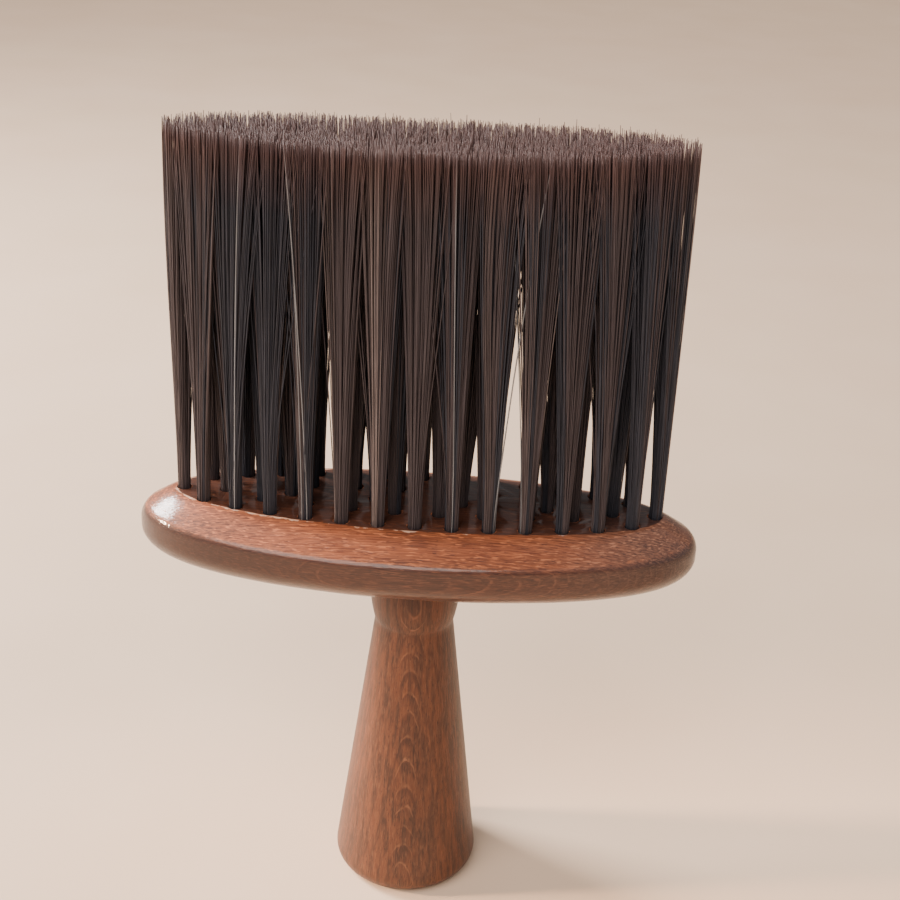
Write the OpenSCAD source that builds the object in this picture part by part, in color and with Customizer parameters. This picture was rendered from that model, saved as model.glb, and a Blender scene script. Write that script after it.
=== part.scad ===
// Neck duster: an oval wooden head on a turned wooden handle, with stiff nylon
// tufts set in drilled holes. It stands upright on the foot of its handle.
// Millimetres, +Z up and +X along the head, with the origin at the centre of
// the foot, on the surface that it stands on.

/* [Head] */
// Length of the oval head
head_length = 125; // [122:1:140]
// Width of the oval head
head_width = 45; // [43:0.5:52]
// Thickness of the head
head_thick = 15.5; // [15:0.5:20]
// Width of the sloping border round the flat top
slope_width = 8; // [6:0.25:8.5]
// How far the border has dropped where it meets the shoulder
slope_drop = 3.6; // [2.5:0.1:4]
// Crown of the sloping border
slope_crown = 0.4; // [0:0.1:0.6]
// Radius of the shoulder between the border and the upright band
shoulder_round = 2; // [1:0.25:2.5]
// Depth of the upright band's lower edge below the flat top
band_bottom = 8.9; // [8:0.1:10]
// Width of the rounding under the head
under_round = 8.8; // [6:0.2:10]

/* [Handle] */
// Height of the head's flat underside above the foot
handle_height = 83; // [75:1:95]
// Largest radius of the handle, just above the foot
foot_radius = 17; // [15:0.5:20]
// Radius of the rounding round the foot
foot_round = 4; // [2:0.25:5]
// Radius at the bottom of the V groove under the collar
neck_radius = 9; // [8:0.25:10]
// Height of the V groove
neck_height = 68.7; // [60:0.1:71]
// Largest radius of the collar bead
collar_radius = 10.2; // [10.1:0.1:12]
// Height of the collar bead's widest place above the V groove
collar_rise = 8.3; // [6:0.1:10]
// Radius of the glued tenon
tenon_radius = 6; // [5:0.25:7]
// Length of the glued tenon
tenon_length = 7.5; // [5:0.25:7.75]

/* [Tufts] */
// Length of the row of outer tufts, between hole centres
outer_row_length = 105.2; // [104:0.1:106]
// Width of the row of outer tufts, between hole centres
outer_row_width = 23.8; // [23:0.1:25]
// Tufts in the outer row
outer_count = 28; // [24:2:28]
// Length of the inner row, between hole centres
inner_row_length = 86; // [85:0.5:88]
// Width of the inner row, between hole centres
inner_row_width = 11.2; // [11:0.1:12]
// Tufts in the inner row
inner_count = 18; // [14:2:18]
// Distance between neighbouring tufts on the centre line
centre_pitch = 19; // [18.5:0.25:19.5]
// Tufts on the centre line
centre_count = 4; // [2:2:4]
// Radius of a drilled hole
hole_radius = 1.6; // [1.4:0.05:1.7]
// Depth of a drilled hole
hole_depth = 6; // [5:0.25:6.5]
// Radius of a tuft at its root
root_radius = 1.55; // [1.3:0.05:1.55]
// Radius of a tuft at its tip
tip_radius = 2.7; // [2:0.1:2.7]
// Height of the trimmed tips above the foot
tip_height = 180; // [150:1:200]
// Tip position as a share of the root position, along and across the head
tip_gather = 0.97; // [0.97:0.005:1.05]

/* [Anchors] */
// Length of the flat wire anchor that pins a tuft in its hole
anchor_length = 3.8; // [3.4:0.1:4]
// Height of the anchor
anchor_height = 1.6; // [1:0.1:2]
// Thickness of the anchor
anchor_thick = 0.4; // [0.3:0.05:0.5]

/* [Hidden] */
$fn = 96;
wood_colour = [0.47, 0.25, 0.16];
bristle_colour = [0.18, 0.15, 0.15];
anchor_colour = [0.72, 0.72, 0.70];

head_top = handle_height + head_thick;
glue_gap = 0.05;
socket_floor = 0.3;
slab = 0.01;
hull_steps = 64;
arc_steps = 360;
spare = 1;

// Section of the head's edge: inset from the outline and depth under the top.
slope_steps = 3;
shoulder_steps = 3;
under_steps = 5;

// Height of a crown at a share of its span: 1 halfway and 0 at both ends.
function crown_at(t) = 4 * t * (1 - t);

slope_points = [
    for (i = [0:slope_steps])
        let (t = i / slope_steps)
        [
            slope_width + (shoulder_round - slope_width) * t,
            slope_drop * t - slope_crown * crown_at(t)
        ]
];
shoulder_points = [
    for (i = [1:shoulder_steps])
        let (angle = 90 * i / shoulder_steps)
        [
            shoulder_round * (1 - sin(angle)),
            slope_drop + shoulder_round * (1 - cos(angle))
        ]
];
under_points = [
    for (i = [0:under_steps])
        let (angle = 90 * i / under_steps)
        [
            under_round * (1 - cos(angle)),
            band_bottom + (head_thick - band_bottom) * sin(angle)
        ]
];
edge_points = concat(slope_points, shoulder_points, under_points);

function arc_points(centre, radius, start, end, steps) = [
    for (i = [0:steps])
        let (angle = start + (end - start) * i / steps)
        centre + radius * [cos(angle), sin(angle)]
];

// The foot's rounding, and where the cone of the handle touches it.
foot_centre = [foot_radius - foot_round, foot_round];
neck_point = [neck_radius, neck_height];
neck_offset = neck_point - foot_centre;
touch_angle = atan2(neck_offset[1], neck_offset[0]) - acos(foot_round / norm(neck_offset));

// The collar bead is one arc that springs from the V groove.
collar_swell = collar_radius - neck_radius;
collar_arc = (collar_swell * collar_swell + collar_rise * collar_rise) / (2 * collar_swell);
collar_centre = [collar_radius - collar_arc, neck_height + collar_rise];
collar_start = -asin(collar_rise / collar_arc);
collar_end = asin((handle_height - collar_centre[1]) / collar_arc);
tenon_chamfer = 0.6;
turned_steps = 12;

// Half section of the turned handle, with the tenon that goes into the head.
handle_outline = concat(
    [[0, 0]],
    arc_points(foot_centre, foot_round, -90, touch_angle, turned_steps),
    arc_points(collar_centre, collar_arc, collar_start, collar_end, turned_steps),
    [
        [tenon_radius, handle_height],
        [tenon_radius, handle_height + tenon_length - tenon_chamfer],
        [tenon_radius - tenon_chamfer, handle_height + tenon_length],
        [0, handle_height + tenon_length]
    ]
);

// Hole centres, spaced evenly along each oval row from its +X end.
function oval_point(a, b, angle) = [a * cos(angle), b * sin(angle)];
function arc_table(a, b) = [
    for (
        i = 0, run = 0;
        i <= arc_steps;
        run = run + norm(oval_point(a, b, i + 1) - oval_point(a, b, i)),
        i = i + 1
    )
        [run, i]
];
function even_oval(length, width, count) =
    let (
        a = length / 2,
        b = width / 2,
        table = arc_table(a, b),
        around = table[arc_steps][0]
    )
    [for (k = [0:count - 1]) oval_point(a, b, lookup(around * k / count, table))];

outer_roots = even_oval(outer_row_length, outer_row_width, outer_count);
inner_roots = even_oval(inner_row_length, inner_row_width, inner_count);
centre_roots = [
    for (k = [0:centre_count - 1])
        [centre_pitch * (k - (centre_count - 1) / 2), 0]
];
roots = concat(outer_roots, inner_roots, centre_roots);

function row_names(row, count) = [
    for (k = [1:count])
        str("tuft_", row, "_", k < 10 ? "0" : "", k)
];
tuft_names = concat(
    row_names("outer", outer_count),
    row_names("inner", inner_count),
    row_names("centre", centre_count)
);

// Places its children on a tuft's own axis, at the mouth of its hole. The
// hole is drilled on the same lean that the tuft has.
module on_tuft_axis(root) {
    shift = root * (tip_gather - 1);
    lean = atan2(norm(shift), tip_height - head_top);
    heading = atan2(shift[1], shift[0]);
    translate([root[0], root[1], head_top])
        rotate(heading)
            rotate([0, lean, 0])
                rotate(-heading)
                    children();
}

module anchor_plate() {
    translate([-anchor_length / 2, -anchor_thick / 2, -hole_depth])
        cube([anchor_length, anchor_thick, anchor_height]);
}

module tuft_hole() {
    translate([0, 0, -hole_depth])
        cylinder(r = hole_radius, h = hole_depth + spare);
}

// Oval block with a flat top, a sloping border and a rounded underside.
module head_outline() {
    hull()
        for (p = edge_points)
            translate([0, 0, head_top - p[1] - (p[1] > 0 ? 0 : slab)])
                scale([head_length / 2 - p[0], head_width / 2 - p[0], 1])
                    cylinder(r = 1, h = slab, $fn = hull_steps);
}

module head_block() {
    color(wood_colour)
        difference() {
            head_outline();
            translate([0, 0, handle_height - spare])
                cylinder(r = tenon_radius + glue_gap, h = tenon_length + socket_floor + spare);
            for (root = roots)
                on_tuft_axis(root) {
                    tuft_hole();
                    anchor_plate();
                }
        }
}

module handle() {
    color(wood_colour)
        rotate_extrude()
            polygon(handle_outline);
}

// Flat wire anchors, one in the bottom of each hole.
module tuft_anchors() {
    color(anchor_colour)
        for (root = roots)
            on_tuft_axis(root)
                anchor_plate();
}

// One tuft: a bundle folded round its anchor, narrow in the hole and wider at
// the tips, where all the tufts are trimmed to one height.
module tuft(root) {
    brush_length = tip_height - head_top;
    trim_size = 8 * tip_radius;
    color(bristle_colour)
        difference() {
            on_tuft_axis(root)
                rotate_extrude()
                    polygon([
                        [0, -hole_depth],
                        [root_radius, -hole_depth],
                        [root_radius, 0],
                        [tip_radius, brush_length + spare],
                        [0, brush_length + spare]
                    ]);
            on_tuft_axis(root)
                anchor_plate();
            translate([root[0] - trim_size / 2, root[1] - trim_size / 2, tip_height])
                cube([trim_size, trim_size, 3 * spare]);
        }
}

head_block();
handle();
tuft_anchors();
for (i = [0:len(roots) - 1])
    tuft(roots[i]);
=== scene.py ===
import math

import bmesh
import bpy
import numpy as np
from mathutils import Matrix, Vector, noise


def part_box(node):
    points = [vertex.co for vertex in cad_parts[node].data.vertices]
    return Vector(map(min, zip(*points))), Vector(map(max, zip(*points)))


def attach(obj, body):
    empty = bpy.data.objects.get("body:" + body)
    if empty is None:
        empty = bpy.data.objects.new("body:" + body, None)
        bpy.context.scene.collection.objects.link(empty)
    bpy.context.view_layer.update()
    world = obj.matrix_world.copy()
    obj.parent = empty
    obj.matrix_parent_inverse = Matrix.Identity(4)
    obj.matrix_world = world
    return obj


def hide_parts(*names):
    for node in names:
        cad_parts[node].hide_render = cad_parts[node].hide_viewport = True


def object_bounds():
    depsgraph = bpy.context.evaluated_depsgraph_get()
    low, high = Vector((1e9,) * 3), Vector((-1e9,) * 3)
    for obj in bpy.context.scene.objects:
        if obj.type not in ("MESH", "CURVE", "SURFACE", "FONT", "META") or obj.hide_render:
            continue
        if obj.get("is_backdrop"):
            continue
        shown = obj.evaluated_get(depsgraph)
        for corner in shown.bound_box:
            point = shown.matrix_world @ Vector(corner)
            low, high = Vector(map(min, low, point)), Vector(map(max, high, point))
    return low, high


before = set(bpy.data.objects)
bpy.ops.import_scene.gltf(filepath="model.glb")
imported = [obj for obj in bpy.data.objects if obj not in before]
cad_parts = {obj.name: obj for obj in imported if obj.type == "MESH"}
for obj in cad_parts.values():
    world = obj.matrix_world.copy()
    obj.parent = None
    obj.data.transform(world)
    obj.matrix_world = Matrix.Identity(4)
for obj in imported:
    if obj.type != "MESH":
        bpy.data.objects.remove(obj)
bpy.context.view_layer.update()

# Looks of the neck duster, in metres. The place and overall size of each piece
# come from the frame. The sizes of the sections below repeat the CAD's, and the
# finer details are the visual model's own.
MM = 0.001
SEED = 41
# Edges of the wood that turn by more than this many degrees stay crisp.
CRISP_ANGLE = 38

# Camera: an orbit round a point on the brush's axis, then turned a little.
CAMERA_TARGET = Vector((0.0, 0.0, 0.085))
CAMERA_DISTANCE = 0.3409
CAMERA_ELEVATION = math.radians(29.53)
CAMERA_YAW = math.radians(3.37)
CAMERA_PAN = math.radians(1.12)
CAMERA_TILT = math.radians(4.01)
CAMERA_ROLL = math.radians(2.17)
CAMERA_LENS_MM = 60.0

# Section of the head's edge, measured inwards from the outline and down from
# the flat top.
SLOPE_WIDTH = 8.0 * MM
SLOPE_DROP = 3.6 * MM
SLOPE_CROWN = 0.4 * MM
# Where the crowned slope turns straight, and how steeply it falls from there.
SLOPE_STRAIGHT = 4.0 * MM
SLOPE_TILT = 0.64
# Radius of the shoulder: the CAD's, the one here halfway along the head, and
# the one here at its ends. The larger the power, the nearer the ends it stays.
CAD_SHOULDER = 2.0 * MM
SHOULDER_ROUND = 1.7 * MM
END_ROUND = 5.0 * MM
END_ROUND_POWER = 4
# The bevel round the flat, and how far its rim wanders.
EDGE_BEVEL = 0.45 * MM
EDGE_RAG = 0.25 * MM
BAND_BOTTOM = 8.9 * MM
UNDER_ROUND = 8.8 * MM
HEAD_SEGMENTS = 320
# Uneven hand sanding: about how deep it goes, and the span of its waves.
HAND_SANDING = 0.05 * MM
SANDING_SPAN = 9 * MM

# Turned handle.
FOOT_ROUND = 4.0 * MM
NECK_RADIUS = 9.0 * MM
NECK_HEIGHT = 68.7 * MM
COLLAR_RADIUS = 10.2 * MM
COLLAR_RISE = 8.3 * MM
TENON_CHAMFER = 0.6 * MM
HANDLE_SEGMENTS = 256
# The lathe tool's ripple: its height, its pitch divided by two pi, and the span
# over which its strength varies.
TOOL_MARK = 0.02 * MM
TOOL_MARK_WAVE = 0.55 * MM
TOOL_MARK_SPAN = 6 * MM

# Drilled holes, and the tenon's socket.
HOLE_RADIUS = 1.6 * MM
HOLE_DEPTH = 6.0 * MM
HOLE_SIDES = 36
RIM_WIDTH = 0.32 * MM
RIM_DEPTH = 0.13 * MM
SOCKET_GAP = 0.05 * MM
SOCKET_FLOOR = 0.3 * MM
SOCKET_SIDES = 96
CUT_SPARE = 1.0 * MM

# Filaments of one tuft. The bundle goes down to a share of the hole's depth, and
# fans out to the tips: further on the centre line, along the head and across.
FILAMENTS = 160
FILAMENT_RADIUS = 0.10 * MM
FILAMENT_SIDES = 5
ROOT_DEPTH = 0.7
BUNDLE_RADIUS = 1.4 * MM
FAN_RADIUS = 4.8 * MM
CENTRE_FAN = (10.5 * MM, 6.0 * MM)
# How far all the tips lean, how far they reach past the outer tufts' middles,
# and the share of that oval by which its outermost tips may fall short of it.
TIP_SWAY = (-0.6 * MM, 0.2 * MM)
TIP_REACH = (2.95 * MM, 2.75 * MM)
TIP_EDGE_SCATTER = 0.04
# Filaments hold together in strands, each turned from the last by an angle in
# radians that spreads them evenly. Each tuft, strand and filament leans and
# bows by a random amount with these spreads.
STRANDS = 10
STRAND_TURN = 2.4
TUFT_LEAN = (0.5 * MM, 0.35 * MM)
TUFT_BOW = 0.4 * MM
STRAND_LEAN = 0.45 * MM
STRAND_BOW = 0.35 * MM
FILAMENT_BOW = 0.15 * MM
FILAMENT_LEAN = 0.85 * MM
ROOT_SCATTER = 0.03
RADIUS_SPREAD = 0.1
# A few filaments stray further.
STRAY_SHARE = 0.035
STRAY_LEAN = 3.0 * MM
STRAY_BOW = 3
# The trimmed face: its shape, its roughness, and the few short and long tips.
TRIM_LIFT = 0.5 * MM
TRIM_DISH = 1.1 * MM
TRIM_TILT = 0.5 * MM
TRIM_ROUGH = 0.28 * MM
SHORT_SHARE = 0.06
SHORT_BY = 5 * MM
LONG_SHARE = 0.015
LONG_BY = 2.0 * MM
LONGEST_TIP = 4.6 * MM
# Single light filaments that stand out, and are thicker: where on the tuft each one
# starts (an angle), and how far its tip leans from the tuft's own, in mm. Those
# on tuft_outer_15 are a painted highlight for the lit left edge of that tuft.
STRAYS_AND_PAINTED_GLINTS = {
    # Painted highlight: light filaments down this tuft's left edge, where the lamp lights it.
    "tuft_outer_15": ((3.1, -4.0, 0.2), (3.5, -4.2, -1.0), (2.8, -3.8, 1.2)),
    "tuft_outer_17": ((-1.6, 1.5, -2.5),),
    "tuft_outer_19": ((-1.2, -6.5, -2.5), (-1.9, -5.4, -2.0)),
    "tuft_outer_23": ((-1.4, -2.0, -3.0),),
    "tuft_outer_24": ((-0.6, 8.5, -1.0), (-0.2, 5.5, 2.0)),
    "tuft_outer_25": ((-2.4, -7.5, 0.0),),
}
STRAY_THICKER = 1.2
# A filament's path has a point at each of these shares of its length. Its
# thickness changes along it, and it starts to fan out a little above the hole.
PATH_STEPS = (0.0, 0.02, 0.07, 0.16, 0.28, 0.42, 0.56, 0.70, 0.82, 0.91, 0.96, 1.0)
TAPER_AT = (0, 0.3, 0.85, 0.96, 1.0)
TAPER = (1.0, 1.2, 1.15, 0.95, 0.62)
FAN_START = 0.03
FAN_CURVE = 1.2

# Linear colours of the wood: light and dark stain, lighter flecks, pores, wood
# rubbed bare, painted shade on the flat, painted shade that darkens the band and
# more its -X end, a painted greyish reflection on the head's +X end, and what
# tints the handle.
WOOD_LIGHT = (0.270, 0.060, 0.018)
WOOD_DARK = (0.062, 0.017, 0.009)
WOOD_FLECK = (0.54, 0.170, 0.066)
WOOD_PORE = (0.045, 0.014, 0.009)
WOOD_BARE = (0.60, 0.38, 0.27)
FLAT_PAINTED_SHADE = (0.040, 0.015, 0.010)
BAND_PAINTED_SHADE = (0.56, 0.59, 0.66)
NEAR_END_PAINTED_SHADE = (0.70, 0.73, 0.82)
FAR_END_PAINTED_SHEEN = (0.70, 0.98, 1.45)
HANDLE_TINT = (0.46, 0.61, 0.80)

# Growth rings, in mm. On the handle, their crests fade out between the two
# distances from the middle of its front.
RING_SPACING = 0.72
RING_SWAY = 2.2
RING_WOBBLE = 0.35
CREST_FADE = (3.6, 1.2)

# The same wood along the head and down the handle: the axis that the grain
# follows, the axis that the rings curve across (its number, where on it their
# crests lie, and twice the radius there, in mm), a fibre's length in mm, how
# strongly each feature shows, and the lacquer.
HEAD_GRAIN = {
    "axis": "X",
    "ring_axis": 2,
    "ring_middle": 91.0,
    "ring_curve": 24,
    "fibre_length": 6,
    "patches": 0.45,
    "streaks": 0.50,
    "stripes": 0.15,
    "late_wood": 0.35,
    "rays": 0.70,
    "lacquer": 0.75,
    "lacquer_rough": 0.10,
}
HANDLE_GRAIN = {
    "axis": "Z",
    "ring_axis": 0,
    "ring_middle": 0.5,
    "ring_curve": 22,
    "fibre_length": 12,
    "patches": 0.3,
    "streaks": 0.38,
    "stripes": 0.5,
    "late_wood": 0.6,
    "rays": 0.22,
    "lacquer": 0.3,
    "lacquer_rough": 0.32,
}

# Linear colours of the filaments with how common each is. How common the dark
# one is in a tuft is drawn from TUFT_DARKNESS and its spread.
BRISTLE_SHADES = (
    (0.068, 0.053, 0.056),
    (0.038, 0.039, 0.050),
    (0.090, 0.069, 0.069),
    (0.180, 0.140, 0.132),
)
BRISTLE_SHARES = (0.48, 0.0, 0.18, 0.03)
DARK_SHADE = 1
TUFT_DARKNESS = 0.18
TUFT_DARKNESS_SPREAD = 0.10
DARKNESS_LIMITS = (0.04, 1.6)
# Two darker zones along the head: the middle and the reach of each, and what
# both add to that.
DARK_ZONES = ((-31 * MM, 8 * MM), (44 * MM, 9 * MM))
ZONE_DARKNESS = 1.2
# How many filaments take their strand's shade, and how far the shades vary.
STRAND_LIKENESS = 0.94
SHADE_SPREAD = 0.07
DARKEST = 0.002
# Colour of the light strays, and of the painted highlight on tuft_outer_15's left edge.
STRAY_AND_GLINT_SHADE = (0.235, 0.23, 0.235)
MOTTLE_TINT = (0.35, 0.33, 0.33)
# The tips fade towards a redder shade: how far, and from which share of the
# length on.
TIP_SHADE = (0.140, 0.066, 0.053)
TIP_FADE = 0.75
TIP_FADE_START = 0.82
TIP_FADE_CURVE = 1.5

# Linear colours of the anchors' wire, of the floor and of the light all round.
WIRE_DARK = (0.50, 0.49, 0.47)
WIRE_LIGHT = (0.74, 0.73, 0.71)
FLOOR_DARK = (0.70, 0.49, 0.34)
FLOOR_LIGHT = (0.77, 0.56, 0.41)
FLOOR_REACH = 6.0
SKY_COLOUR = (0.86, 0.85, 0.85)
SKY_STRENGTH = 0.30


# ---------------------------------------------------------------- geometry


def link(mesh, name):
    """A new object in the scene, with that mesh."""
    piece = bpy.data.objects.new(name, mesh)
    bpy.context.scene.collection.objects.link(piece)
    return piece


def ring_faces(rings, sides, first=0):
    """Quads between each ring of vertices and the next."""
    faces = []
    for r in range(rings - 1):
        low = first + r * sides
        for k in range(sides):
            n = (k + 1) % sides
            faces.append((low + k, low + n, low + sides + n, low + sides + k))
    return faces


def closed_stack(name, rings):
    """A closed mesh through a list of equal rings, with a flat face at each end."""
    sides = len(rings[0])
    points = [p for ring in rings for p in ring]
    faces = ring_faces(len(rings), sides)
    faces.append(tuple(reversed(range(sides))))
    faces.append(tuple(range(len(points) - sides, len(points))))
    mesh = bpy.data.meshes.new(name)
    mesh.from_pydata(points, [], faces)
    return mesh


def smooth_below(mesh, degrees):
    """Smooth shading, with edges sharper than the angle kept crisp."""
    work = bmesh.new()
    work.from_mesh(mesh)
    limit = math.radians(degrees)
    for face in work.faces:
        face.smooth = True
    for edge in work.edges:
        edge.smooth = edge.calc_face_angle(math.pi) < limit
    work.to_mesh(mesh)
    work.free()


def arc(centre, radius, start, end, steps):
    """Points along an arc between two angles in degrees."""
    turns = np.radians(np.linspace(start, end, steps))
    return [(centre[0] + radius * math.cos(t), centre[1] + radius * math.sin(t)) for t in turns]


def even_oval_angles(a, b, count):
    """Angles that space points evenly along an oval."""
    fine = np.linspace(0, 2 * math.pi, 3601)
    steps = np.hypot(np.diff(a * np.cos(fine)), np.diff(b * np.sin(fine)))
    run = np.concatenate(([0], np.cumsum(steps)))
    return np.interp(np.arange(count) / count * run[-1], run, fine)


# ------------------------------------------------------------------- head


def head_section(end):
    """(inset, depth) points of the head's edge, from the flat top to the underside.

    end is 0 halfway along the head and 1 at its ends, where the shoulder is
    rounder.
    """
    thick = head_high.z - head_low.z
    bevel = SLOPE_WIDTH + EDGE_BEVEL
    # Points close together keep the rim of the flat crisp.
    points = [(bevel + 0.9 * MM, 0.0), (bevel + 0.06 * MM, 0.0), (bevel - 0.05 * MM, 0.02 * MM)]
    for inset in np.linspace(SLOPE_WIDTH - 0.1 * MM, SLOPE_STRAIGHT, 9):
        t = (SLOPE_WIDTH - inset) / (SLOPE_WIDTH - CAD_SHOULDER)
        depth = SLOPE_DROP * t - 4 * SLOPE_CROWN * t * (1 - t)
        points.append((inset, max(depth, 0.10 * MM)))
    low_inset, low_depth = points[-1]
    turn = math.atan(SLOPE_TILT)
    radius = SHOULDER_ROUND + (END_ROUND - SHOULDER_ROUND) * end
    meet = radius * (1 - math.sin(turn))
    meet_depth = low_depth + SLOPE_TILT * (low_inset - meet)
    points.append(((low_inset + meet) / 2, (low_depth + meet_depth) / 2))
    start = meet_depth - radius * (1 - math.cos(turn))
    for t in np.linspace(turn, math.pi / 2, 11):
        points.append((radius * (1 - math.sin(t)), start + radius * (1 - math.cos(t))))
    for depth in np.linspace(start + radius, BAND_BOTTOM, 4)[1:]:
        points.append((0.0, depth))
    for t in np.radians(np.linspace(0, 90, 20))[1:]:
        inset = UNDER_ROUND * (1 - math.cos(t))
        points.append((inset, BAND_BOTTOM + (thick - BAND_BOTTOM) * math.sin(t)))
    return points


def head_blank():
    """The head before drilling: oval rings that follow the section."""
    a, b = head_high.x, head_high.y
    # The points of the section that lie at the rim of the flat.
    rim_points = range(1, 5)
    columns = []
    for t in even_oval_angles(a, b, HEAD_SEGMENTS):
        column = []
        # The rim of the flat wanders a little, in waves about 3 mm long.
        rag = EDGE_RAG * (noise.noise(Vector((20 * math.cos(t), 9 * math.sin(t), 5.0))))
        section = head_section(abs(math.cos(t)) ** END_ROUND_POWER)
        for k, (inset, depth) in enumerate(section):
            if k in rim_points:
                inset += rag
            p = Vector(((a - inset) * math.cos(t), (b - inset) * math.sin(t), head_high.z - depth))
            if 0 < depth < head_high.z - head_low.z:
                wave = noise.noise(p / SANDING_SPAN) - 0.5
                p -= Vector((math.cos(t), math.sin(t), 0)) * HAND_SANDING * abs(wave)
            column.append(p)
        columns.append(column)
    rings = [list(ring) for ring in zip(*columns)]
    rings.reverse()
    return closed_stack("head_wood", rings)


def hole_cutter(root, tip, rng):
    """The space that one drill leaves, with a broken, slightly uneven rim."""
    axis = (tip - root).normalized()
    turn = axis.to_track_quat("Z", "Y").to_matrix()
    sides = HOLE_SIDES
    # Between 0.35 and 1.25 of the rim's width, evened out with both neighbours.
    ragged = [RIM_WIDTH * (0.35 + 0.9 * rng.random()) for _ in range(sides)]
    smooth = [(ragged[k] + ragged[k - 1] + ragged[(k + 1) % sides]) / 3 for k in range(sides)]
    levels = [(-HOLE_DEPTH, 0.0), (-RIM_DEPTH, 0.0), (0.0, 1.0), (CUT_SPARE, 1.0)]
    rings = []
    for height, flare in levels:
        ring = []
        for k in range(sides):
            t = 2 * math.pi * k / sides
            radius = HOLE_RADIUS + smooth[k] * flare
            ring.append(root + turn @ Vector((radius * math.cos(t), radius * math.sin(t), height)))
        rings.append(ring)
    return rings


def socket_cutter():
    """The blind socket for the handle's tenon."""
    radius = tenon_radius + SOCKET_GAP
    rings = []
    for z in (head_low.z - CUT_SPARE, handle_high.z + SOCKET_FLOOR):
        ring = []
        for k in range(SOCKET_SIDES):
            t = 2 * math.pi * k / SOCKET_SIDES
            ring.append(Vector((radius * math.cos(t), radius * math.sin(t), z)))
        rings.append(ring)
    return rings


def drill(mesh, cutters, materials):
    """Cuts every hole from the head, and gives the cut faces the bare wood."""
    points, faces = [], []
    for rings in cutters:
        sides = len(rings[0])
        first = len(points)
        points += [p for ring in rings for p in ring]
        faces += ring_faces(len(rings), sides, first)
        faces.append(tuple(first + k for k in reversed(range(sides))))
        faces.append(tuple(range(len(points) - sides, len(points))))
    tool_mesh = bpy.data.meshes.new("drills")
    tool_mesh.from_pydata(points, [], faces)
    for material in materials:
        mesh.materials.append(material)
        tool_mesh.materials.append(material)
    for face in tool_mesh.polygons:
        face.material_index = 1
    blank = link(mesh, "head_blank")
    tool = link(tool_mesh, "drills")
    cut = blank.modifiers.new("cut", "BOOLEAN")
    cut.object = tool
    cut.operation = "DIFFERENCE"
    cut.solver = "EXACT"
    cut.material_mode = "TRANSFER"
    graph = bpy.context.evaluated_depsgraph_get()
    drilled = bpy.data.meshes.new_from_object(blank.evaluated_get(graph))
    bpy.data.objects.remove(blank)
    bpy.data.objects.remove(tool)
    return drilled


# ----------------------------------------------------------------- handle


def handle_section():
    """(radius, height) points of the turned handle, from the foot to the tenon's end."""
    foot_centre = (handle_high.x - FOOT_ROUND, FOOT_ROUND)
    away = (NECK_RADIUS - foot_centre[0], NECK_HEIGHT - foot_centre[1])
    touch = math.degrees(math.atan2(away[1], away[0]) - math.acos(FOOT_ROUND / math.hypot(*away)))
    points = [(r, 0.0) for r in np.linspace(1.0 * MM, foot_centre[0] - 0.3 * MM, 10)]
    points += arc(foot_centre, FOOT_ROUND, -90, touch, 18)
    radius, height = points[-1]
    for t in np.linspace(0, 1, 60)[1:-1]:
        rise = (NECK_HEIGHT - height) * t
        points.append((radius + (NECK_RADIUS - radius) * t, height + rise))
    swell = COLLAR_RADIUS - NECK_RADIUS
    curve = (swell**2 + COLLAR_RISE**2) / (2 * swell)
    centre = (COLLAR_RADIUS - curve, NECK_HEIGHT + COLLAR_RISE)
    start = -math.degrees(math.asin(COLLAR_RISE / curve))
    end = math.degrees(math.asin((head_low.z - centre[1]) / curve))
    points += arc(centre, curve, start, end, 22)
    points.append((tenon_radius, head_low.z))
    points.append((tenon_radius, handle_high.z - TENON_CHAMFER))
    points.append((tenon_radius - TENON_CHAMFER, handle_high.z))
    return points


def handle_mesh():
    """The turned handle, with a faint ripple from the lathe tool above its foot."""
    rings = []
    for radius, height in handle_section():
        ring = []
        on_side = FOOT_ROUND < height < head_low.z
        ripple = TOOL_MARK * math.sin(height / TOOL_MARK_WAVE) if on_side else 0.0
        for k in range(HANDLE_SEGMENTS):
            t = 2 * math.pi * k / HANDLE_SEGMENTS
            r = radius + ripple * (0.5 + noise.noise(Vector((height / TOOL_MARK_SPAN, t, 3.0))))
            ring.append(Vector((r * math.cos(t), r * math.sin(t), height)))
        rings.append(ring)
    return closed_stack("handle_wood", rings)


# ------------------------------------------------------------------ tufts


def tuft_ends(node):
    """The middle of a tuft's root and of its tip, from its CAD solid."""
    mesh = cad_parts[node].data
    points = np.empty(len(mesh.vertices) * 3)
    mesh.vertices.foreach_get("co", points)
    points = points.reshape(-1, 3)
    ends = []
    end_band = 0.3 * MM
    for level in (points[:, 2].min(), points[:, 2].max()):
        near = points[np.abs(points[:, 2] - level) < end_band]
        ends.append(Vector((near.min(axis=0) + near.max(axis=0)) / 2))
    return ends


def at_height(low, high, z):
    """The point at height z on the line through two points."""
    return low + (high - low) * ((z - low.z) / (high.z - low.z))


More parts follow.
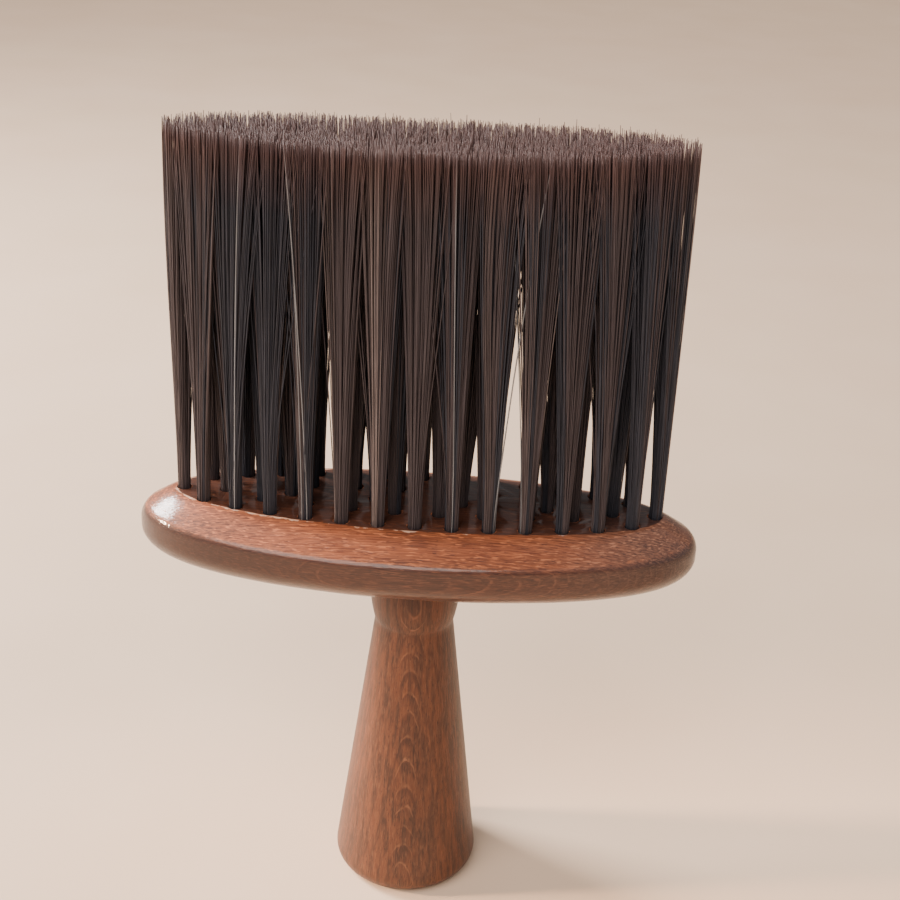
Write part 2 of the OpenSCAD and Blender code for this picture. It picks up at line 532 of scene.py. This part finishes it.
def filament_paths(node, root, tip, rng):
    """Centre lines and radii of one tuft's filaments, with the strand of each.

    Also gives the numbers of the light ones that stand out. The lines are an
    array of (filament, step, 3), and the radii of (filament, step).
    """
    n = FILAMENTS
    k = np.arange(n)
    spin = k * math.pi * (3 - math.sqrt(5)) + rng.random() * 6.28
    spread = np.sqrt((k + 0.5) / n)
    unit = np.stack((spread * np.cos(spin), spread * np.sin(spin)), axis=1)
    unit += rng.normal(0, ROOT_SCATTER, unit.shape)

    # Filaments hold together in a few strands that lean a little apart.
    turns = np.arange(STRANDS) * STRAND_TURN
    centres = np.stack((np.cos(turns), np.sin(turns)), axis=1)
    centres *= np.sqrt((np.arange(STRANDS)[:, None] + 0.5) / STRANDS)
    strand = np.argmin(((unit[:, None] - centres[None]) ** 2).sum(axis=2), axis=1)
    strand_lean = rng.normal(0, STRAND_LEAN, (STRANDS, 2))
    strand_bow = rng.normal(0, STRAND_BOW, (STRANDS, 2))

    # The few tufts on the centre line have more room to fill.
    fan = np.array(CENTRE_FAN if "centre" in node else (FAN_RADIUS, FAN_RADIUS))
    lean = rng.normal(0, TUFT_LEAN)
    tuft_bow = rng.normal(0, TUFT_BOW, 2)
    tip_xy = np.array(tip[:2]) + np.array(TIP_SWAY) + lean + unit * fan + strand_lean[strand]
    tip_xy += rng.normal(0, FILAMENT_LEAN, (n, 2))
    stray = rng.random(n) < STRAY_SHARE
    tip_xy[stray] += rng.normal(0, STRAY_LEAN, (int(stray.sum()), 2))
    marked = []
    for turn, lean_x, lean_y in STRAYS_AND_PAINTED_GLINTS.get(node, ()):
        from_edge = unit - np.array((math.cos(turn), math.sin(turn)))
        outer = int(np.argmin(np.hypot(*from_edge.T)))
        tip_xy[outer] = np.array(tip[:2]) + np.array((lean_x, lean_y)) * MM
        marked.append(outer)

    # Nothing reaches past the oval that the trimmed tips fill.
    centred = tip_xy - np.array(TIP_SWAY)
    over = np.hypot(centred[:, 0] / oval[0], centred[:, 1] / oval[1])
    shrink = np.where(over > 1, (1 - TIP_EDGE_SCATTER * rng.random(n) ** 2) / over, 1.0)
    tip_xy = centred * shrink[:, None] + np.array(TIP_SWAY)

    # The trimmed face is a little dished, and higher at its +X end.
    share = tip_xy[:, 0] / oval[0]
    trim = tip.z + TRIM_LIFT + TRIM_DISH * share**2 + TRIM_TILT * share
    trim = trim + rng.normal(0, TRIM_ROUGH, n)
    short = rng.random(n) < SHORT_SHARE
    trim[short] -= rng.random(int(short.sum())) * SHORT_BY
    long = rng.random(n) < LONG_SHARE
    trim[long] += rng.random(int(long.sum())) * LONG_BY
    trim = np.minimum(trim, tip.z + LONGEST_TIP)

    bow = tuft_bow + strand_bow[strand] + rng.normal(0, FILAMENT_BOW, (n, 2))
    bow[stray] *= STRAY_BOW
    root_xy = np.array(root[:2]) + unit * BUNDLE_RADIUS
    start_z = root.z - HOLE_DEPTH * ROOT_DEPTH
    mouth_z = root.z

    steps = np.array(PATH_STEPS)
    paths = np.empty((n, len(steps), 3))
    for j, s in enumerate(steps):
        grow = max(0.0, (s - FAN_START) / (1 - FAN_START)) ** FAN_CURVE
        bend = math.sin(math.pi * min(1.0, s))
        paths[:, j, :2] = root_xy + (tip_xy - root_xy) * grow + bow * bend * grow
        paths[:, j, 2] = mouth_z + (trim - mouth_z) * s
    paths[:, 0, 2] = start_z
    base = FILAMENT_RADIUS * (1 + rng.normal(0, RADIUS_SPREAD, n))
    taper = np.interp(steps, TAPER_AT, TAPER)
    base[marked] *= STRAY_THICKER
    return paths, base[:, None] * taper[None], strand, marked


def filament_colours(n, strand, x, rng):
    """One colour for each filament of the tuft at x, mostly alike within a strand."""
    shades = np.array(BRISTLE_SHADES)
    shares = np.array(BRISTLE_SHARES)
    darkness = rng.normal(TUFT_DARKNESS, TUFT_DARKNESS_SPREAD)
    for middle, reach in DARK_ZONES:
        darkness += ZONE_DARKNESS * math.exp(-(((x - middle) / reach) ** 2))
    shares[DARK_SHADE] = np.clip(darkness, *DARKNESS_LIMITS)
    shares /= shares.sum()
    pick = rng.choice(len(shades), size=n, p=shares)
    strand_pick = rng.choice(len(shades), size=strand.max() + 1, p=shares)
    follow = rng.random(n) < STRAND_LIKENESS
    pick[follow] = strand_pick[strand[follow]]
    colour = shades[pick] * (1 + rng.normal(0, SHADE_SPREAD, (n, 1)))
    return np.clip(colour, DARKEST, 1)


def tuft_mesh(node, root, tip, rng):
    """One tuft: a closed tapered tube for each filament, with its own colour."""
    paths, radii, strand, marked = filament_paths(node, root, tip, rng)
    n, steps, _ = paths.shape
    sides = FILAMENT_SIDES
    turn = np.arange(sides) * 2 * math.pi / sides
    around = np.stack((np.cos(turn), np.sin(turn), np.zeros(sides)), axis=1)
    points = paths[:, :, None, :] + radii[:, :, None, None] * around[None, None]
    points = points.reshape(-1, 3)

    ring = np.arange(sides)
    quad = np.stack((ring, (ring + 1) % sides, (ring + 1) % sides + sides, ring + sides), axis=1)
    one = (quad[None] + (np.arange(steps - 1) * sides)[:, None, None]).reshape(-1, 4)
    every = (one[None] + (np.arange(n) * steps * sides)[:, None, None]).reshape(-1, 4)
    first = (np.arange(n) * steps * sides)[:, None]
    low_caps = first + ring[::-1][None]
    high_caps = first + (steps - 1) * sides + ring[None]

    mesh = bpy.data.meshes.new(node.replace("tuft", "bristles"))
    faces = every.tolist() + low_caps.tolist() + high_caps.tolist()
    mesh.from_pydata(points.tolist(), [], faces)
    mesh.shade_smooth()

    colour = filament_colours(n, strand, tip.x, rng)
    colour[marked] = STRAY_AND_GLINT_SHADE
    past_start = (np.array(PATH_STEPS) - TIP_FADE_START) / (1 - TIP_FADE_START)
    fade = TIP_FADE * np.clip(past_start, 0, 1)[None, :, None] ** TIP_FADE_CURVE
    shaded = colour[:, None] * (1 - fade) + np.array(TIP_SHADE) * fade
    rgba = np.ones((n, steps, sides, 4))
    rgba[..., :3] = shaded[:, :, None, :]
    layer = mesh.color_attributes.new("filament_colour", "FLOAT_COLOR", "POINT")
    layer.data.foreach_set("color", rgba.ravel())
    return mesh


# -------------------------------------------------------------- materials


def add(tree, kind, sockets=None, **settings):
    """Adds a node. A socket is given a value, or another node's output."""
    node = tree.nodes.new(kind)
    for key, value in settings.items():
        setattr(node, key, value)
    for key, value in (sockets or {}).items():
        if isinstance(value, bpy.types.NodeSocket):
            tree.links.new(value, node.inputs[key])
        else:
            node.inputs[key].default_value = value
    return node


def calc(tree, operation, a, b=0.0, c=0.0):
    """One step of arithmetic, on up to three values."""
    node = add(tree, "ShaderNodeMath", {0: a, 1: b, 2: c}, operation=operation)
    return node.outputs[0]


def millimetres(tree):
    """The point on the surface in the part's own frame, in millimetres."""
    place = add(tree, "ShaderNodeTexCoord").outputs["Object"]
    scaled = add(tree, "ShaderNodeVectorMath", {0: place, "Scale": 1 / MM}, operation="SCALE")
    return scaled.outputs[0]


def grainy(tree, point, size, detail, shift):
    """Noise from 0 to 1, with features of that size in millimetres along X, Y and Z.

    shift moves the pattern, so that two of the same size differ.
    """
    shrink = tuple(1 / s for s in size)
    scaled = add(
        tree,
        "ShaderNodeVectorMath",
        {0: point, 1: shrink, 2: (shift, shift * 1.7, shift * 2.3)},
        operation="MULTIPLY_ADD",
    )
    settings = {"Vector": scaled.outputs[0], "Scale": 1.0, "Detail": detail}
    return add(tree, "ShaderNodeTexNoise", settings).outputs["Fac"]


def ramp(tree, value, low, high):
    """Rises smoothly from 0 at low to 1 at high. low may be the larger one."""
    node = add(
        tree,
        "ShaderNodeMapRange",
        {"Value": value, "From Min": low, "From Max": high},
        interpolation_type="SMOOTHSTEP",
    )
    return node.outputs[0]


def scaled_by(tree, value, factor):
    """The value times the factor."""
    return calc(tree, "MULTIPLY", value, factor)


def plus_scaled(tree, value, factor, base):
    """The base plus the value times the factor."""
    return calc(tree, "MULTIPLY_ADD", value, factor, base)


def with_alpha(colour):
    """A colour for a socket: another node's output, or three numbers and an alpha of 1."""
    return colour if isinstance(colour, bpy.types.NodeSocket) else (*colour, 1)


def blend_colour(tree, amount, a, b, kind="MIX"):
    """Colour a with b blended over it by that amount."""
    node = add(
        tree,
        "ShaderNodeMix",
        {0: amount, 6: with_alpha(a), 7: with_alpha(b)},
        data_type="RGBA",
        blend_type=kind,
    )
    return node.outputs[2]


def new_material(name):
    """A material with its node tree and its shader."""
    made = bpy.data.materials.new(name)
    made.use_nodes = True
    return made, made.node_tree, made.node_tree.nodes["Principled BSDF"]


def along(grain, length, radial, across):
    """A size in millimetres: along the grain, through the rings and across both."""
    return (length, radial, across) if grain["axis"] == "X" else (across, radial, length)


def growth_rings(tree, point, grain):
    """Late and early wood of the rings, 0 to 1: wide curved sheets that face the front."""
    parts = add(tree, "ShaderNodeSeparateXYZ", {0: point}).outputs
    side = calc(tree, "SUBTRACT", parts[grain["ring_axis"]], grain["ring_middle"])
    curl = calc(tree, "MULTIPLY", side, side)
    ring = plus_scaled(tree, curl, 1 / grain["ring_curve"], parts[1])
    sway = grainy(tree, point, along(grain, 34, 22, 22), detail=1.0, shift=3.1)
    wobble = grainy(tree, point, along(grain, 5, 2, 2.2), detail=2.0, shift=9.4)
    ring = plus_scaled(tree, sway, RING_SWAY, ring)
    ring = plus_scaled(tree, wobble, RING_WOBBLE, ring)
    count = scaled_by(tree, ring, 1 / RING_SPACING)
    phase = calc(tree, "FRACT", count)
    number = calc(tree, "FLOOR", count)
    year = add(tree, "ShaderNodeTexWhiteNoise", {"W": number}, noise_dimensions="1D")
    vigour = plus_scaled(tree, year.outputs["Value"], 0.65, 0.35)
    if grain["axis"] == "Z":
        # Only the rings' crests show on the handle, down the middle of its front.
        crest = ramp(tree, calc(tree, "ABSOLUTE", side), *CREST_FADE)
        vigour = calc(tree, "MULTIPLY", vigour, plus_scaled(tree, crest, 0.9, 0.1))
    late = calc(tree, "MULTIPLY", ramp(tree, phase, 0.45, 0.88), ramp(tree, phase, 1.0, 0.93))
    early = calc(tree, "MULTIPLY", ramp(tree, phase, 0.0, 0.04), ramp(tree, phase, 0.20, 0.08))
    return calc(tree, "MULTIPLY", late, vigour), calc(tree, "MULTIPLY", early, vigour)


def wood_pattern(tree, point, grain):
    """Growth rings, rays and pores of beech. Returns colour, bump height and fibre."""
    late, early = growth_rings(tree, point, grain)
    tone = grainy(tree, point, along(grain, 55, 9, 9), detail=2.0, shift=5.7)
    fibre_size = along(grain, grain["fibre_length"], 0.30, 0.30)
    fibre = grainy(tree, point, fibre_size, detail=3.0, shift=1.3)
    patchy = grainy(tree, point, along(grain, 9, 1.4, 1.4), detail=2.0, shift=6.6)
    rays = grainy(tree, point, along(grain, 2.6, 0.7, 0.24), detail=1.5, shift=7.9)
    bands = grainy(tree, point, along(grain, 60, 1.0, 1.0), detail=2.0, shift=4.9)
    pores = grainy(tree, point, along(grain, 1.5, 0.22, 0.22), detail=1.0, shift=2.2)

    body = blend_colour(tree, ramp(tree, tone, 0.3, 0.7), WOOD_DARK, WOOD_LIGHT)
    patch = scaled_by(tree, ramp(tree, patchy, 0.35, 0.7), grain["patches"])
    body = blend_colour(tree, patch, body, WOOD_DARK)
    streak = ramp(tree, fibre, 0.25, 0.75)
    streaky = blend_colour(tree, streak, WOOD_DARK, WOOD_FLECK)
    body = blend_colour(tree, grain["streaks"], body, streaky)
    stripe = blend_colour(tree, ramp(tree, bands, 0.38, 0.62), WOOD_DARK, WOOD_LIGHT)
    body = blend_colour(tree, grain["stripes"], body, stripe)
    body = blend_colour(tree, scaled_by(tree, late, grain["late_wood"]), body, WOOD_DARK)
    faint = ramp(tree, patchy, 0.65, 0.35)
    line = calc(tree, "MULTIPLY", scaled_by(tree, early, 0.75), faint)
    body = blend_colour(tree, line, body, WOOD_FLECK)
    ray = ramp(tree, rays, 0.56, 0.69)
    body = blend_colour(tree, scaled_by(tree, ray, grain["rays"]), body, WOOD_FLECK)
    pore = ramp(tree, pores, 0.60, 0.72)
    body = blend_colour(tree, scaled_by(tree, pore, 0.60), body, WOOD_PORE)

    height = plus_scaled(tree, ray, 0.6, streak)
    height = plus_scaled(tree, pore, -1.0, height)
    height = plus_scaled(tree, late, -0.5, height)
    return body, height, fibre


def wood_material(name, grain):
    """Stained wood under lacquer, with the grain along the head or down the handle."""
    made, tree, shader = new_material(name)
    point = millimetres(tree)
    body, height, fibre = wood_pattern(tree, point, grain)
    if grain["axis"] == "X":
        body = wear_and_painted_light(tree, point, body)
    else:
        body = blend_colour(tree, 1.0, body, HANDLE_TINT, "MULTIPLY")
    relief = {"Height": height, "Strength": 0.45, "Distance": 0.05 * MM}
    bump = add(tree, "ShaderNodeBump", relief)
    tree.links.new(body, shader.inputs["Base Color"])
    tree.links.new(bump.outputs[0], shader.inputs["Normal"])
    rough = add(tree, "ShaderNodeMapRange", {"Value": fibre, "To Min": 0.48, "To Max": 0.64})
    tree.links.new(rough.outputs[0], shader.inputs["Roughness"])

    # The lacquer follows the grain a little and has slow waves of its own.
    waves = grainy(tree, point, (2.6, 2.6, 2.6), detail=2.0, shift=7.1)
    peel = grainy(tree, point, along(grain, 0.8, 0.45, 0.45), detail=1.0, shift=3.7)
    film = plus_scaled(tree, height, 0.12, waves)
    film = plus_scaled(tree, peel, 0.36, film)
    surface = {"Height": film, "Strength": 0.5, "Distance": 0.12 * MM}
    lacquer = add(tree, "ShaderNodeBump", surface)
    tree.links.new(lacquer.outputs[0], shader.inputs["Coat Normal"])
    shader.inputs["Specular IOR Level"].default_value = 0.25
    shader.inputs["Coat Weight"].default_value = grain["lacquer"]
    shader.inputs["Coat Roughness"].default_value = grain["lacquer_rough"]
    return made


def wear_and_painted_light(tree, point, body):
    """The head's uneven finish, with painted shade and a painted reflection, by depth under its
    flat and by place along it.

    Painted shade darkens the flat and the band, the band most at its -X end.
    A painted greyish reflection lies over the +X end. The stain is rubbed off
    round the flat and on the shoulder.
    """
    parts = add(tree, "ShaderNodeSeparateXYZ", {0: point}).outputs
    length_at, height = parts[0], parts[2]
    depth = calc(tree, "SUBTRACT", head_high.z / MM, height)
    rag = grainy(tree, point, (1.6, 1.6, 1.6), detail=3.0, shift=4.4)
    worn = grainy(tree, point, (11, 11, 11), detail=2.0, shift=2.6)

    # Bare wood shows in places just under the rim of the flat.
    edge = plus_scaled(tree, rag, 0.45, depth)
    edge = plus_scaled(tree, worn, 0.50, edge)
    edge = plus_scaled(tree, length_at, 0.0016, edge)
    off_flat = ramp(tree, depth, 0.004, 0.012)
    chipped = calc(tree, "MULTIPLY", ramp(tree, edge, 0.50, 0.43), off_flat)
    body = blend_colour(tree, scaled_by(tree, chipped, 0.8), body, WOOD_BARE)
    # Painted shade: the flat is darkened between the tufts, where the bristles shade it.
    flat_shade = ramp(tree, depth, 0.010, 0.002)
    body = blend_colour(tree, scaled_by(tree, flat_shade, 0.8), body, FLAT_PAINTED_SHADE)

    # Painted shade: the band is darkened and tinted, most at its -X end.
    band = ramp(tree, depth, SLOPE_DROP / MM + 0.2, SLOPE_DROP / MM + 1.6)
    band_shade = calc(tree, "MULTIPLY", band, plus_scaled(tree, length_at, -0.0035, 0.62))
    body = blend_colour(tree, band_shade, body, WOOD_DARK)
    body = blend_colour(tree, band, body, BAND_PAINTED_SHADE, "MULTIPLY")
    near_end_shade = calc(tree, "MULTIPLY", band, ramp(tree, length_at, -10.0, -50.0))
    body = blend_colour(tree, near_end_shade, body, NEAR_END_PAINTED_SHADE, "MULTIPLY")
    # Painted reflection: the +X end turns greyer and bluer, as if pale surroundings showed in the
    # lacquer.
    far_end_sheen = ramp(tree, length_at, 12.0, 58.0)
    body = blend_colour(tree, far_end_sheen, body, FAR_END_PAINTED_SHEEN, "MULTIPLY")

    from_shoulder = calc(tree, "SUBTRACT", depth, SLOPE_DROP / MM + 0.4)
    shoulder = calc(tree, "ABSOLUTE", from_shoulder)
    shoulder = plus_scaled(tree, rag, 1.6, shoulder)
    rubbed = ramp(tree, shoulder, 1.0, 0.5)
    return blend_colour(tree, scaled_by(tree, rubbed, 0.35), body, WOOD_FLECK)


def bare_wood_material():
    """Wood cut after staining, inside the drilled holes."""
    made, tree, shader = new_material("bare_wood")
    point = millimetres(tree)
    fine = grainy(tree, point, (1.2, 0.4, 0.5), detail=3.0, shift=6.0)
    body = blend_colour(tree, ramp(tree, fine, 0.45, 0.75), WOOD_DARK, WOOD_FLECK)
    bump = add(tree, "ShaderNodeBump", {"Height": fine, "Strength": 0.6, "Distance": 0.08 * MM})
    tree.links.new(body, shader.inputs["Base Color"])
    tree.links.new(bump.outputs[0], shader.inputs["Normal"])
    shader.inputs["Roughness"].default_value = 0.7
    return made


def bristle_material():
    """Nylon in each filament's own colour, mottled along its length."""
    made, tree, shader = new_material("nylon_bristle")
    point = millimetres(tree)
    own = add(tree, "ShaderNodeAttribute", attribute_name="filament_colour").outputs["Color"]
    mottle = grainy(tree, point, (0.6, 0.6, 9.0), detail=2.0, shift=8.8)
    dark = blend_colour(tree, 0.45, own, MOTTLE_TINT, "MULTIPLY")
    body = blend_colour(tree, ramp(tree, mottle, 0.3, 0.7), dark, own)
    fine = grainy(tree, point, (0.12, 0.12, 1.2), detail=1.0, shift=2.9)
    bump = add(tree, "ShaderNodeBump", {"Height": fine, "Strength": 0.2, "Distance": 0.02 * MM})
    rough = add(tree, "ShaderNodeMapRange", {"Value": mottle, "To Min": 0.42, "To Max": 0.58})
    tree.links.new(body, shader.inputs["Base Color"])
    tree.links.new(bump.outputs[0], shader.inputs["Normal"])
    tree.links.new(rough.outputs[0], shader.inputs["Roughness"])
    shader.inputs["IOR"].default_value = 1.53
    shader.inputs["Specular IOR Level"].default_value = 0.22
    return made


def anchor_material():
    """Bright drawn wire."""
    made, tree, shader = new_material("anchor_wire")
    point = millimetres(tree)
    drawn = grainy(tree, point, (3.0, 0.1, 0.1), detail=2.0, shift=1.1)
    body = blend_colour(tree, drawn, WIRE_DARK, WIRE_LIGHT)
    rough = add(tree, "ShaderNodeMapRange", {"Value": drawn, "To Min": 0.25, "To Max": 0.45})
    tree.links.new(body, shader.inputs["Base Color"])
    tree.links.new(rough.outputs[0], shader.inputs["Roughness"])
    shader.inputs["Metallic"].default_value = 1.0
    return made


# ------------------------------------------------------------------ pieces

head_low, head_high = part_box("head_block")
handle_low, handle_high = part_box("handle")
tuft_nodes = [name for name in sorted(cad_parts) if name.startswith("tuft_")]
tuft_nodes.remove("tuft_anchors")

# The tenon's radius, from the part of the handle that is inside the head.
handle_points = np.array([v.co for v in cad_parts["handle"].data.vertices])
in_socket = handle_points[handle_points[:, 2] > head_low.z + 1.0 * MM]
tenon_radius = float(np.abs(in_socket[:, 0]).max())

# Each tuft's middle at the mouth of its hole and at its tip.
tufts = {}
for node in tuft_nodes:
    low, high = tuft_ends(node)
    tufts[node] = (at_height(low, high, head_high.z), high)
# Half the length and half the width of the oval that the trimmed tips fill.
oval = (
    max(tip.x for _, tip in tufts.values()) + TIP_REACH[0],
    max(tip.y for _, tip in tufts.values()) + TIP_REACH[1],
)

head_stain = wood_material("stained_wood_head", HEAD_GRAIN)
handle_stain = wood_material("stained_wood_handle", HANDLE_GRAIN)
bare = bare_wood_material()
nylon = bristle_material()

rng = np.random.default_rng(SEED)
cutters = [hole_cutter(root, tip, rng) for root, tip in tufts.values()]
cutters.append(socket_cutter())
head_mesh = drill(head_blank(), cutters, (head_stain, bare))
smooth_below(head_mesh, CRISP_ANGLE)
head = link(head_mesh, "head_wood")
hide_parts("head_block")
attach(head, "root")

turned = handle_mesh()
turned.materials.append(handle_stain)
smooth_below(turned, CRISP_ANGLE)
handle = link(turned, "handle_wood")
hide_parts("handle")
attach(handle, "root")

for node, (root, tip) in tufts.items():
    mesh = tuft_mesh(node, root, tip, rng)
    mesh.materials.append(nylon)
    bundle = link(mesh, mesh.name)
    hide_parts(node)
    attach(bundle, "root")

# The anchors keep their CAD shape and only get the look of wire.
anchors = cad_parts["tuft_anchors"]
anchors.data.materials.clear()
anchors.data.materials.append(anchor_material())

# ------------------------------------------------------------------- stage


def floor_material():
    """A pale warm matt floor, faintly uneven in colour."""
    made, tree, shader = new_material("pale_floor")
    point = millimetres(tree)
    faint = grainy(tree, point, (60, 60, 60), detail=3.0, shift=0.5)
    body = blend_colour(tree, faint, FLOOR_DARK, FLOOR_LIGHT)
    tree.links.new(body, shader.inputs["Base Color"])
    shader.inputs["Roughness"].default_value = 0.65
    return made


def add_floor(size):
    """A square floor that reaches that far each way."""
    mesh = bpy.data.meshes.new("floor")
    corners = [(-size, -size, 0), (size, -size, 0), (size, size, 0), (-size, size, 0)]
    mesh.from_pydata(corners, [], [(0, 1, 2, 3)])
    mesh.materials.append(floor_material())
    floor = link(mesh, "floor")
    floor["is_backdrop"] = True


def add_light(name, kind, towards, distance, size, power, colour, aim=(0, 0, 0.1), cone=None):
    """A soft light that shines at the point it aims at, from that direction.

    size is in metres, or in degrees for a sun. A spot's cone is in degrees.
    """
    data = bpy.data.lights.new(name, kind)
    data.energy = power
    data.color = colour
    if kind == "AREA":
        data.shape = "SQUARE"
        data.size = size
    elif kind == "SUN":
        data.angle = math.radians(size)
    else:
        data.shadow_soft_size = size
        data.spot_size = math.radians(cone)
        data.spot_blend = 1.0
    lamp = bpy.data.objects.new(name, data)
    bpy.context.scene.collection.objects.link(lamp)
    away = Vector(towards).normalized()
    lamp.location = Vector(aim) + away * distance
    lamp.rotation_mode = "QUATERNION"
    lamp.rotation_quaternion = away.to_track_quat("Z", "Y")


def add_camera():
    """A camera on the orbit, turned by the pan, the tilt and then the roll."""
    yaw, tall = CAMERA_YAW, CAMERA_ELEVATION
    back = Vector((math.sin(yaw) * math.cos(tall), -math.cos(yaw) * math.cos(tall), math.sin(tall)))
    ahead = -back
    right = ahead.cross(Vector((0, 0, 1))).normalized()
    up = right.cross(ahead)
    panned = right * math.cos(CAMERA_PAN) - ahead * math.sin(CAMERA_PAN)
    ahead = right * math.sin(CAMERA_PAN) + ahead * math.cos(CAMERA_PAN)
    tilted = up * math.cos(CAMERA_TILT) - ahead * math.sin(CAMERA_TILT)
    ahead = up * math.sin(CAMERA_TILT) + ahead * math.cos(CAMERA_TILT)
    right = panned * math.cos(CAMERA_ROLL) + tilted * math.sin(CAMERA_ROLL)
    up = -panned * math.sin(CAMERA_ROLL) + tilted * math.cos(CAMERA_ROLL)
    data = bpy.data.cameras.new("camera")
    data.lens = CAMERA_LENS_MM
    data.sensor_width = 36.0
    data.clip_start = 0.01
    camera = bpy.data.objects.new("camera", data)
    bpy.context.scene.collection.objects.link(camera)
    place = Matrix((right, up, -ahead)).transposed().to_4x4()
    place.translation = CAMERA_TARGET + back * CAMERA_DISTANCE
    camera.matrix_world = place
    bpy.context.scene.camera = camera


def add_lights():
    """A window behind on the left, fills all round, and a low sunbeam on the handle."""
    add_light(
        "window",
        "AREA",
        towards=(-0.80, 0.26, 0.54),
        distance=0.9,
        size=0.28,
        power=21.0,
        colour=(1.0, 0.98, 0.96),
    )
    add_light(
        "overhead",
        "SUN",
        towards=(-0.28, -0.62, 0.73),
        distance=1.0,
        size=52.0,
        power=3.2,
        colour=(1.0, 0.93, 0.86),
    )
    add_light(
        "right",
        "AREA",
        towards=(0.80, -0.20, 0.56),
        distance=0.9,
        size=1.3,
        power=1.6,
        colour=(0.86, 0.93, 1.0),
    )
    add_light(
        "low_left",
        "SPOT",
        towards=(-0.93, -0.10, 0.36),
        distance=0.8,
        size=0.06,
        power=150.0,
        colour=(1.0, 0.72, 0.48),
        aim=(0, 0, 0.020),
        cone=8.0,
    )
    add_light(
        "front",
        "AREA",
        towards=(-0.30, -0.85, 0.40),
        distance=1.0,
        size=0.7,
        power=0.9,
        colour=(1.0, 0.97, 0.95),
    )


def add_world():
    """Faint even light from all round."""
    world = bpy.data.worlds.new("studio")
    bpy.context.scene.world = world
    world.use_nodes = True
    sky = world.node_tree.nodes["Background"]
    sky.inputs["Color"].default_value = (*SKY_COLOUR, 1)
    sky.inputs["Strength"].default_value = SKY_STRENGTH


add_camera()
add_floor(FLOOR_REACH)
add_lights()
add_world()

low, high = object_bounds()
